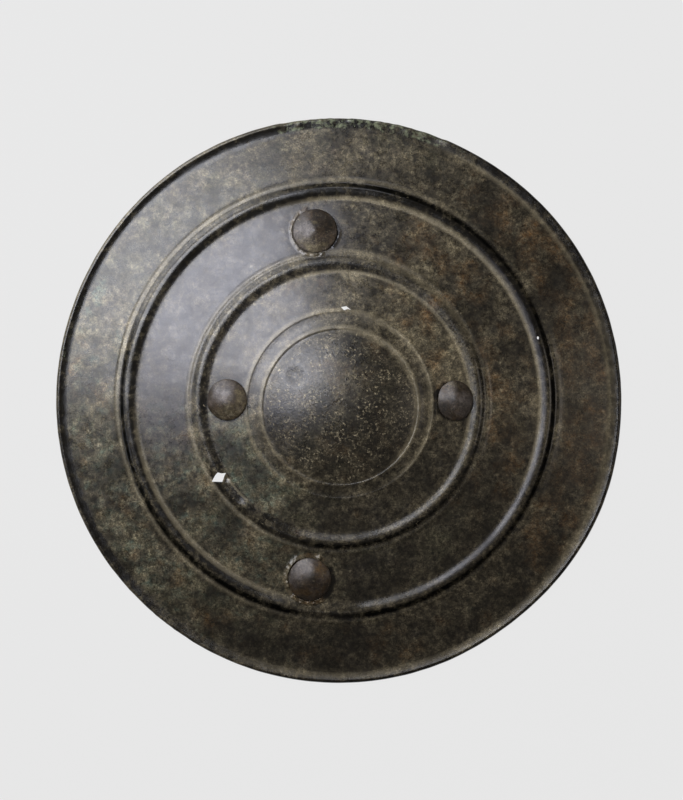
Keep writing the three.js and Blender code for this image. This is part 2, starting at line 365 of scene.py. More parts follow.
@dataclass(frozen=True)
class SheetForm:
    """The shape of the hammered sheet, as heights over the floor for each ring's radius."""

    outer: float = 200.0
    wall: float = 1.3
    edge_height: float = 2.6
    rise: float = 14.0
    dome_radius: float = 54.0
    dome_height: float = 8.5
    fullness: float = 2.1
    foot_radius: float = 64.5
    step_height: float = 1.7
    crease_inside: float = 1.5
    crease_outside: float = 3.6
    crease_height: float = 0.24
    ribs: tuple[Rib, ...] = (Rib(99.7, 8.4, 5.0, 2.0, 1.3), Rib(149.6, 9.0, 5.5, 2.5, 1.8))
    shoulder_offset: float = 6.8
    shoulder_half_width: float = 2.5
    shoulder_height: float = 0.35
    rim_foot: float = 192.0
    rim_crown: float = 198.2
    rim_height: float = 1.5
    rim_sweep: float = 1.6
    rest_from: float = 195.6
    rest_to: float = 199.2
    centres: tuple[RingCentre, ...] = (
        RingCentre(0, 1.2, -4.9),
        RingCentre(54, 1.2, -4.7),
        RingCentre(64.5, 1.0, -3.2),
        RingCentre(99.7, -0.2, -1.2),
        RingCentre(149.6, -0.8, -0.2),
        RingCentre(192, 0, 0),
    )

    def slope(self) -> float:
        """Returns the slope of the plate between the ribs, which makes up for their steps."""
        steps = sum(rib.step() for rib in self.ribs)
        return (self.rise + steps) / (self.rim_foot - self.foot_radius)

    def plate(self, radius: float) -> float:
        """Returns the height of the dished plate's face without its ribs."""
        along = self.rim_foot - clamp(radius, self.foot_radius, self.rim_foot)
        steps = sum(rib.step() for rib in self.ribs if rib.crown > radius)
        return self.edge_height + self.slope() * along - steps

    def boss(self, radius: float) -> float:
        """Returns the height of the boss and its ring step over the plate."""
        if radius > self.foot_radius:
            return 0.0
        step = 1 - smooth(radius, self.dome_radius, self.foot_radius)
        fall = min(radius / self.dome_radius, 1) ** self.fullness
        return self.step_height * step + self.dome_height * (1 - fall)

    def creases(self, radius: float) -> float:
        """Returns the height of the two fine ridges, which rise at once and fall slowly."""
        height = 0.0
        for foot in (self.dome_radius, self.foot_radius):
            offset = radius - foot - self.crease_inside
            width = self.crease_inside if offset < 0 else self.crease_outside
            height += self.crease_height * hump(offset, width)
        return height

    def rib(self, rib: Rib, radius: float) -> float:
        """Returns the height of one rib and its shoulder over the plate."""
        offset = radius - rib.crown - self.shoulder_offset
        return rib.height(radius) + self.shoulder_height * hump(offset, self.shoulder_half_width)

    def rim(self, radius: float) -> float:
        """Returns the height of the rim's bead over the plate."""
        climb = (radius - self.rim_foot) / (self.rim_crown - self.rim_foot)
        return self.rim_height * clamp(climb) ** self.rim_sweep

    def face(self, radius: float) -> float:
        """Returns the height of the front surface over the floor."""
        ribs = sum(self.rib(rib, radius) for rib in self.ribs)
        return self.plate(radius) + self.boss(radius) + ribs + self.rim(radius)

    def centre(self, radius: float) -> tuple[float, float]:
        """Returns the centre of the ring of this radius."""
        for low, high in zip(self.centres, self.centres[1:]):
            if radius < high.radius:
                share = (radius - low.radius) / (high.radius - low.radius)
                return low.x + (high.x - low.x) * share, low.y + (high.y - low.y) * share
        return 0.0, 0.0

    def ring_at(self, x: float, y: float) -> tuple[float, float]:
        """Returns the radius and the angle, in its own ring, of a place on the shield."""
        radius = math.hypot(x, y)
        for _ in range(4):
            middle_x, middle_y = self.centre(radius)
            radius = math.hypot(x - middle_x, y - middle_y)
        return radius, math.degrees(math.atan2(y - middle_y, x - middle_x))

    def seat(self, x: float, y: float) -> Matrix:
        """Returns the place of a piece that stands square on the plate, in metres."""
        radius, _ = self.ring_at(x, y)
        outwards = Vector((x, y, 0)).normalized()
        normal = (outwards * self.slope() + Vector((0, 0, 1))).normalized()
        turn = Vector((0, 0, 1)).rotation_difference(normal).to_matrix().to_4x4()
        return Matrix.Translation(Vector((x, y, self.plate(radius))) * MM) @ turn


FORM = SheetForm()


def linear(code: str) -> tuple[float, float, float, float]:
    """Turns an sRGB hex colour into linear RGBA."""
    values = [int(code[i:i + 2], 16) / 255 for i in (1, 3, 5)]
    red, green, blue = (
        v / 12.92 if v <= 0.04045 else ((v + 0.055) / 1.055) ** 2.4 for v in values
    )
    return red, green, blue, 1.0


def add_node(
    tree: bpy.types.NodeTree, kind: str, inputs: dict | None = None, **settings: str
) -> bpy.types.Node:
    """Adds a node with its settings, its values and its links.

    Args:
        tree: The node tree.
        kind: Blender's name of the node type.
        inputs: For each input, by name or number, a value or the output that feeds it.
        settings: The node's own properties.

    Returns:
        The new node.
    """
    node = tree.nodes.new(kind)
    for name, value in settings.items():
        setattr(node, name, value)
    for key, value in (inputs or {}).items():
        if isinstance(value, bpy.types.NodeSocket):
            tree.links.new(value, node.inputs[key])
        else:
            node.inputs[key].default_value = value
    return node


def mesh_object(name: str, bm: bmesh.types.BMesh) -> bpy.types.Object:
    """Makes a smooth-shaded object of a finished bmesh, in metres, at the origin."""
    mesh = bpy.data.meshes.new(name)
    for face in bm.faces:
        face.smooth = True
    bm.to_mesh(mesh)
    bm.free()
    piece = bpy.data.objects.new(name, mesh)
    bpy.context.scene.collection.objects.link(piece)
    return piece


def spun(section: Iterable[tuple[float, float]], steps: int) -> bmesh.types.BMesh:
    """Turns a section of (radius, height) points, in millimetres, about the vertical axis.

    Args:
        section: Points from the axis round to the axis again.
        steps: How many faces stand round the axis.

    Returns:
        A closed bmesh in millimetres, its normals outwards.
    """
    bm = bmesh.new()
    verts = [bm.verts.new((radius, 0, height)) for radius, height in section]
    edges = [bm.edges.new(pair) for pair in zip(verts, verts[1:])]
    bmesh.ops.spin(
        bm, geom=verts + edges, cent=(0, 0, 0), axis=(0, 0, 1), angle=math.tau,
        steps=steps, use_merge=True, use_duplicate=False,
    )
    bmesh.ops.remove_doubles(bm, verts=bm.verts, dist=1e-5)
    bmesh.ops.dissolve_degenerate(bm, edges=bm.edges, dist=1e-6)
    bmesh.ops.recalc_face_normals(bm, faces=bm.faces)
    return bm


def dress(piece: bpy.types.Object, material: bpy.types.Material, slot: Slot, *nodes: str) -> None:
    """Gives a piece its material, ties it to the body and hides the CAD nodes that it stands for.
    """
    piece.data.materials.clear()
    piece.data.materials.append(material)
    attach(piece, BODY)
    if nodes:
        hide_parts(*nodes)
    log.info("%s: %d faces", piece.name, len(piece.data.polygons))


def write_coats(
    piece: bpy.types.Object,
    coats_at: Callable[[bpy.types.MeshVertex], list[tuple[Coat, float]]],
) -> None:
    """Writes how much of every coat lies at each vertex into the piece's attributes.

    Args:
        piece: The piece.
        coats_at: Gives the (coat, share) pairs at a vertex.
    """
    mesh = piece.data
    bare = {coat.value[0]: [1.0] * (4 * len(mesh.vertices)) for coat in Coat}
    for number, vert in enumerate(mesh.vertices):
        for coat, share in coats_at(vert):
            if share:
                name, channel = coat.value
                bare[name][4 * number + channel] *= 1 - share
    for name, values in bare.items():
        attribute = mesh.color_attributes.new(name, "FLOAT_COLOR", "POINT")
        attribute.data.foreach_set("color", [1 - value for value in values])


class Patina:
    """A node tree that lays one coat of colour over another on old bronze."""

    def __init__(self, name: str) -> None:
        """Starts a material with this name."""
        self.material = bpy.data.materials.new(name)
        self.material.use_nodes = True
        self.tree = self.material.node_tree
        self.tree.nodes.clear()
        self.place = add_node(self.tree, "ShaderNodeTexCoord").outputs["Object"]
        self.channels: dict[str, bpy.types.Node] = {}

    def coat(self, coat: Coat) -> Socket:
        """Returns how much of a coat lies here, from the piece's own attribute."""
        name, channel = coat.value
        if name not in self.channels:
            source = add_node(self.tree, "ShaderNodeAttribute", attribute_name=name)
            self.channels[name] = add_node(
                self.tree, "ShaderNodeSeparateColor", {0: source.outputs["Color"]}
            )
        return self.channels[name].outputs[channel]

    def cloud(
        self, size: float, low: float, high: float, seed: float, detail: float = 5.0,
        rough: float = 0.6, to: tuple[float, float] = (0.0, 1.0),
    ) -> Socket:
        """Adds noise between two values.

        Args:
            size: Width of its waves in millimetres.
            low: Noise below this gives the first value.
            high: Noise above this gives the second value.
            seed: Where in the noise it is taken.
            detail: How many finer octaves it has.
            rough: How strong those are.
            to: The two values.

        Returns:
            The noise.
        """
        moved = add_node(
            self.tree, "ShaderNodeMapping", {"Vector": self.place, "Location": (seed, -seed, seed)}
        )
        source = add_node(
            self.tree, "ShaderNodeTexNoise",
            {
                "Vector": moved.outputs[0], "Scale": 1 / (size * MM), "Detail": detail,
                "Roughness": rough,
            },
        )
        return add_node(
            self.tree, "ShaderNodeMapRange",
            {"Value": source.outputs["Fac"], "From Min": low, "From Max": high,
             "To Min": to[0], "To Max": to[1]},
        ).outputs[0]

    def times(self, first: Value, second: Value) -> Socket:
        """Multiplies two shares."""
        return add_node(
            self.tree, "ShaderNodeMath", {0: first, 1: second}, operation="MULTIPLY"
        ).outputs[0]

    def ragged(
        self, coat: Coat, size: float, low: float, high: float, seed: float,
        detail: float = 7.0, rough: float = 0.68, reach: float = 0.3,
    ) -> Socket:
        """Breaks up the edges of a coat with noise.

        Args:
            coat: The coat.
            size: Width of the noise's waves in millimetres.
            low: Noise at which a full coat starts to cover.
            high: Noise at which it covers.
            seed: Where in the noise it is taken.
            detail: How many finer octaves the noise has.
            rough: How strong those are.
            reach: How much the noise is lowered where there is none of the coat.

        Returns:
            How much of the coat covers each place.
        """
        grain = self.cloud(size, 0.0, 1.0, seed, detail, rough)
        bare = add_node(
            self.tree, "ShaderNodeMath", {0: self.coat(coat), 1: reach, 2: grain},
            operation="MULTIPLY_ADD",
        ).outputs[0]
        return add_node(
            self.tree, "ShaderNodeMapRange",
            {"Value": bare, "From Min": low + reach, "From Max": high + reach},
        ).outputs[0]

    def over(self, below: Socket | str, above: str, share: Value) -> Socket:
        """Lays a colour over another one by a share."""
        if isinstance(below, str):
            below = linear(below)
        return add_node(
            self.tree, "ShaderNodeMix", {0: share, 6: below, 7: linear(above)}, data_type="RGBA"
        ).outputs[2]

    def scaled(self, colour: Socket, *factors: Value) -> Socket:
        """Multiplies a colour by each factor."""
        for factor in factors:
            colour = add_node(
                self.tree, "ShaderNodeVectorMath", {0: colour, "Scale": factor}, operation="SCALE"
            ).outputs[0]
        return colour

    def finish(
        self, colour: Socket, roughness: Socket, metallic: float,
        bumps: Iterable[tuple[Socket, float, float]],
    ) -> bpy.types.Material:
        """Ends the tree in a shader.

        Args:
            colour: The base colour.
            roughness: The roughness.
            metallic: The share of bare metal that shines through.
            bumps: For each layer of relief, its height, strength and depth in millimetres.

        Returns:
            The finished material.
        """
        normal = None
        for height, strength, depth in bumps:
            inputs = {"Height": height, "Strength": strength, "Distance": depth * MM}
            if normal is not None:
                inputs["Normal"] = normal
            normal = add_node(self.tree, "ShaderNodeBump", inputs).outputs[0]
        shader = add_node(
            self.tree, "ShaderNodeBsdfPrincipled",
            {"Base Color": colour, "Metallic": metallic, "Roughness": roughness, "Normal": normal},
        )
        add_node(self.tree, "ShaderNodeOutputMaterial", {"Surface": shader.outputs[0]})
        return self.material


@dataclass(frozen=True)
class SheetBronze:
    """Hammered tin bronze under old waxed patina.

    The wax gives a satin sheen. Under it the eye sees brown to olive mottles with fine beige
    specks, ochre where the patina is thin, and green-white crust at the rim. A lavender-grey
    painted sheen lies where the lamps shine, and painted shade darkens the flanks and the ground
    round the rivets that face away from them.
    """

    brown: str = "#2d2618"
    umber: str = "#1a160e"
    ochre: str = "#6d4a1f"
    olive: str = "#464a35"
    # Black is used both for dark patina and for painted shade.
    black: str = "#0b0a07"
    # Colour of the painted sheen where the lamps shine.
    lavender: str = "#3e3e44"
    turquoise: str = "#506b60"
    pink: str = "#5a473e"
    dust: str = "#776d54"
    # Pale colour of rubbed wear, also laid as a painted highlight on some flanks.
    rubbed: str = "#8c8269"
    specks: str = "#9a8f74"
    crust: str = "#6d725b"

    def material(self) -> bpy.types.Material:
        """Builds the material."""
        p = Patina("patinated_sheet_bronze")
        colour = p.over(self.brown, self.umber, p.cloud(22, 0.38, 0.62, 3.1, 6, 0.6))
        colour = p.over(colour, self.olive, p.ragged(Coat.OLIVE, 20, 0.3, 0.7, 5.3, 6, 0.6))
        # Painted sheen: lavender-grey where the lamps shine.
        colour = p.over(colour, self.lavender, p.ragged(Coat.PAINTED_SHEEN, 24, 0.25, 0.6, 2.9))
        colour = p.over(colour, self.dust, p.ragged(Coat.DUST, 16, 0.34, 0.7, 6.9, 4, 0.5))
        colour = p.over(colour, self.ochre, p.ragged(Coat.OCHRE, 18, 0.36, 0.66, 7.7, 4, 0.5))
        colour = p.over(colour, self.pink, p.ragged(Coat.PINK, 14, 0.36, 0.7, 4.9, 6, 0.6))
        colour = p.over(colour, self.turquoise, p.ragged(Coat.TURQUOISE, 7, 0.32, 0.62, 1.3))
        colour = p.over(colour, self.black, p.ragged(Coat.BLACK, 14, 0.36, 0.66, 9.2))
        # Pale rubbed lines, and painted highlights on some rib and rim flanks.
        colour = p.over(colour, self.rubbed, p.ragged(Coat.RUBBED_AND_PAINTED_HIGHLIGHT, 3, 0.0, 0.6, 6.1, 5, 0.6))
        # Painted shade, with some real dark patina: black on flanks and round heads that face away
        # from the lamps.
        colour = p.over(colour, self.black, p.ragged(Coat.PAINTED_SHADE_AND_SOOT, 6, 0.1, 0.48, 1.7, 6, 0.6))
        colour = p.scaled(
            colour,
            p.cloud(20, 0.34, 0.66, 4.2, 3, 0.5, (0.25, 0.95)),
            p.cloud(5, 0.3, 0.7, 3.2, 3, 0.5, (0.65, 1.3)),
            p.cloud(1.8, 0.3, 0.7, 8.1, 3, 0.75, (0.4, 1.6)),
            p.cloud(0.9, 0.3, 0.7, 1.9, 1, 0.5, (0.45, 1.6)),
        )
        # Black again, which also carries painted shade in dents.
        colour = p.over(colour, self.black, p.times(p.coat(Coat.BLACK), 0.68))
        # The painted sheen again, over the mottling.
        colour = p.over(colour, self.lavender, p.times(p.coat(Coat.PAINTED_SHEEN), 0.55))
        # The pale rubbed lines and painted highlights again.
        colour = p.over(colour, self.rubbed, p.times(p.coat(Coat.RUBBED_AND_PAINTED_HIGHLIGHT), 0.35))
        specks = p.ragged(Coat.SPECKS, 2, 0.54, 0.72, 2.2, 4, 0.85, 0.2)
        clusters = p.cloud(9, 0.42, 0.58, 5.7, 4, 0.6, (0.15, 1.6))
        colour = p.over(colour, self.specks, p.times(specks, clusters))
        colour = p.over(colour, self.crust, p.ragged(Coat.CRUST, 4, 0.44, 0.6, 6.6))
        crusty = p.times(p.coat(Coat.SPECKS), p.coat(Coat.SPECKS))
        waxed = p.cloud(9, 0.3, 0.7, 3.9, 7, 0.75, (0.2, 0.38))
        roughness = add_node(
            p.tree, "ShaderNodeMath", {0: p.coat(Coat.PAINTED_SHADE_AND_SOOT), 1: -0.1, 2: waxed},
            operation="MULTIPLY_ADD",
        ).outputs[0]
        coarse = p.cloud(6, 0.3, 0.7, 5.8, 4, 0.6)
        grain = p.times(p.cloud(1.6, 0.3, 0.7, 8.8, 4, 0.65), crusty)
        return p.finish(colour, roughness, 0.15, ((coarse, 0.25, 0.12), (grain, 0.8, 0.1)))


@dataclass
class Sheet:
    """The hammered sheet of the shield, with its damage."""

    form: SheetForm = field(default_factory=lambda: FORM)
    steps: int = 384
    gap: float = 3.2
    swell: Wave = Wave(0.25, 36, 3.0)
    hammering: Wave = Wave(0.09, 14, 8.0)
    rib_waves: Wave = Wave(0.14, 30, 1.0)
    edge_waves: Wave = Wave(0.14, 9, 6.0)
    bites: Wave = Wave(0.7, 4, 5.0)
    nicks: Wave = Wave(0.4, 1.6, 2.0)
    bumps: tuple[Bump, ...] = (
        Bump(337, 1.0, 13),
        Bump(306, -0.7, 11),
        Bump(236, -0.3, 14),
        Bump(160, -0.3, 12),
        Bump(117, 0.5, 20),
        Bump(60, -0.9, 15),
    )
    worn: tuple[WornArc, ...] = (
        WornArc(68, 102, 0.7, 0.5),
        WornArc(217, 238, 0.25, 0.2),
    )
    rib_dents: tuple[RibDent, ...] = (
        RibDent(0, 214, 226, 0.4),
        RibDent(0, 232, 256, 0.5, 8.0),
        RibDent(1, 258, 276, 0.6, 4.0),
    )
    dents: tuple[Dent, ...] = (
        Dent(-31, 17.5, 9.5, 1.2),
        Dent(-79.2, 0.4, 24, 0.4),
        Dent(81.9, -0.5, 22, 0.4),
        Dent(-16.8, 119.1, 26, 0.5),
        Dent(-20.4, -126.1, 26, 0.6),
        Dent(-79.4, -55.0, 3.4, 0.9),
    )
    holes: tuple[Hole, ...] = (
        Hole(
            ((-89.5, -57.3), (-87.1, -52.9), (-85.2, -50.8), (-82.6, -51.5), (-79.6, -51.2),
             (-80.7, -53.6), (-82.0, -57.5))
        ),
        Hole(((1.7, 65.6), (5.3, 66.3), (8.5, 63.7), (6.5, 64.4), (3.7, 63.4))),
        Hole(((139.9, 43.4), (140.9, 42.9), (141.3, 44.2), (140.7, 45.2), (139.9, 44.8))),
    )
    collars: tuple[Collar, ...] = (
        Collar(-20.4, -126.1, 15.6, 3.2, 2.6, ((60, 75, 0.8), (120, 205, 1.0), (225, 300, 0.6))),
        Collar(-16.7, 119.3, 16.1, 2.4, 1.0, ((110, 290, 0.8), (-40, 0, 0.9))),
    )

    def front_radii(self) -> list[float]:
        """Returns the radii where the front is sampled, close together on ribs and creases."""
        form = self.form
        radii = [form.dome_radius * i / 34 for i in range(34)]
        reach = form.crease_inside + form.crease_outside
        for foot in (form.dome_radius, form.foot_radius):
            radii += [foot + form.crease_inside * i / 5 for i in range(5)]
            radii += [foot + form.crease_inside + form.crease_outside * i / 6 for i in range(7)]
        radii += [form.dome_radius + reach + 1.4 * i for i in (1, 2, 3)]
        last = form.foot_radius + reach + 2
        for rib in form.ribs:
            foot = rib.crown - rib.inside - 1
            count = round((foot - last) / self.gap)
            radii += [last + (foot - last) * i / count for i in range(count)]
            end = rib.crown + form.shoulder_offset + form.shoulder_half_width
            radii += [foot + (end - foot) * i / 24 for i in range(25)]
            last = end + 2
        count = round((form.rim_foot - last) / self.gap)
        radii += [last + (form.rim_foot - last) * i / count for i in range(count)]
        climb = form.rim_crown - form.rim_foot
        radii += [form.rim_foot + climb * i / 9 for i in range(10)]
        return sorted(radii)

    def section(self) -> list[tuple[float, float]]:
        """Returns the sheet's closed section, from the axis along the back, round the rim."""
        form = self.form
        front = [(r, form.face(r) + form.creases(r)) for r in self.front_radii()]
        back = [(r, form.face(r) - form.wall) for r in self.front_radii()[::3] if r < 190]
        crown = form.face(form.rim_crown)
        bead = [
            (form.outer - 0.7 * (1 - math.cos(turn)), crown * (0.5 + 0.36 * math.sin(turn)))
            for turn in (math.radians(-80 + 20 * i) for i in range(9))
        ]
        rim = [(form.rim_foot, 1.1), (form.rest_from, 0), (form.rest_to, 0), *bead]
        return [*back, *rim, (199.3, 0.965 * crown), *reversed(front)]

    def outline_push(self, angle: float) -> float:
        """Returns how far the outline is pushed out at an angle."""
        return sum(
            bump.push * math.exp(-((turn_between(angle, bump.angle) / bump.spread) ** 2))
            for bump in self.bumps
        )

    def refine(self, bm: bmesh.types.BMesh) -> None:
        """Makes the front's faces finer round the holes and the collars."""
        places = [(Vector((c.x, c.y)), c.radius - 2, c.radius + 5) for c in self.collars]
        places += [(hole.middle(), 0, 8) for hole in self.holes]
        form = self.form

        def is_near(vert: bmesh.types.BMVert) -> bool:
            """Tells whether a vertex of the front lies at one of the places."""
            radius = math.hypot(vert.co.x, vert.co.y)
            if vert.co.z < form.face(radius) - form.wall / 2:
                return False
            centre = Vector(form.centre(radius))
            place = Vector((vert.co.x, vert.co.y)) + centre
            return any(low < (place - spot).length < high for spot, low, high in places)

        near = {vert for vert in bm.verts if is_near(vert)}
        edges = [edge for edge in bm.edges if edge.verts[0] in near and edge.verts[1] in near]
        bmesh.ops.subdivide_edges(bm, edges=edges, cuts=3, use_grid_fill=True)

    def hammered(self, vert: Vector) -> Vector:
        """Returns where a vertex of the turned sheet ends up."""
        form = self.form
        radius = math.hypot(vert.x, vert.y)
        angle = math.degrees(math.atan2(vert.y, vert.x))
        centre_x, centre_y = form.centre(radius)
        x, y, height = vert.x, vert.y, vert.z
        inside = 1 - smooth(radius, form.rim_foot - 12, form.rim_foot - 2)
        height += inside * (self.swell.at(x, y) + self.hammering.at(x, y) - 0.08)
        for dent in self.dents:
            height -= dent.at(x + centre_x, y + centre_y)
        for dent in self.rib_dents:
            rib = form.ribs[dent.rib]
            if rib.spans(radius):
                beaten = dent.loss * arc_share(angle, dent.start, dent.end, dent.fade)
                height -= beaten * rib.height(radius)
        for rib in form.ribs:
            if rib.spans(radius):
                height += self.rib_waves.at(x, y) * rib.height(radius)
        is_front = vert.z > form.face(radius) - form.wall / 2
        if is_front:
            for collar in self.collars:
                height += collar.at(x + centre_x, y + centre_y)
        push = self.outline_push(angle) * smooth(radius, form.rim_foot - 8, form.rim_foot)
        if radius > form.rim_foot - 1:
            for arc in self.worn:
                share = arc_share(angle, arc.start, arc.end, 1.2)
                ragged = 0.8 + self.bites.at(x, y) + self.nicks.at(x, y)
                height -= share * arc.loss * ragged * form.rim(radius) * smooth(height, 1, 3)
                push -= share * arc.bite * smooth(radius, form.rim_crown, form.outer) * ragged
            wobble = self.edge_waves.at(x, y) * smooth(radius, form.rim_foot, form.rim_crown)
            push += wobble - 0.1
        stretch = 1 + push / radius if radius else 1
        return Vector((x * stretch + centre_x, y * stretch + centre_y, max(height, 0)))

    def pierced(self, piece: bpy.types.Object) -> None:
        """Cuts the holes through the sheet."""
        bm = bmesh.new()
        for hole in self.holes:
            floor = bm.faces.new([bm.verts.new((x * MM, y * MM, -0.01)) for x, y in hole.corners])
            top = bmesh.ops.extrude_face_region(bm, geom=[floor])["geom"]
            raised = [vert for vert in top if isinstance(vert, bmesh.types.BMVert)]
            bmesh.ops.translate(bm, verts=raised, vec=(0, 0, 0.08))
        bmesh.ops.recalc_face_normals(bm, faces=bm.faces)
        cutter = mesh_object("hole_cutter", bm)
        cut = piece.modifiers.new("holes", "BOOLEAN")
        cut.operation = "DIFFERENCE"
        cut.solver = "MANIFOLD"
        cut.object = cutter
        graph = bpy.context.evaluated_depsgraph_get()
        mesh = bpy.data.meshes.new_from_object(piece.evaluated_get(graph))
        piece.modifiers.clear()
        piece.data = mesh
        bpy.data.objects.remove(cutter)

    def build(self) -> bpy.types.Object:
        """Builds the sheet's mesh."""
        bm = spun(self.section(), self.steps)
        self.refine(bm)
        for vert in bm.verts:
            vert.co = self.hammered(vert.co)
        bmesh.ops.scale(bm, vec=(MM, MM, MM), verts=bm.verts)
        piece = mesh_object("sheet", bm)
        self.pierced(piece)
        return piece


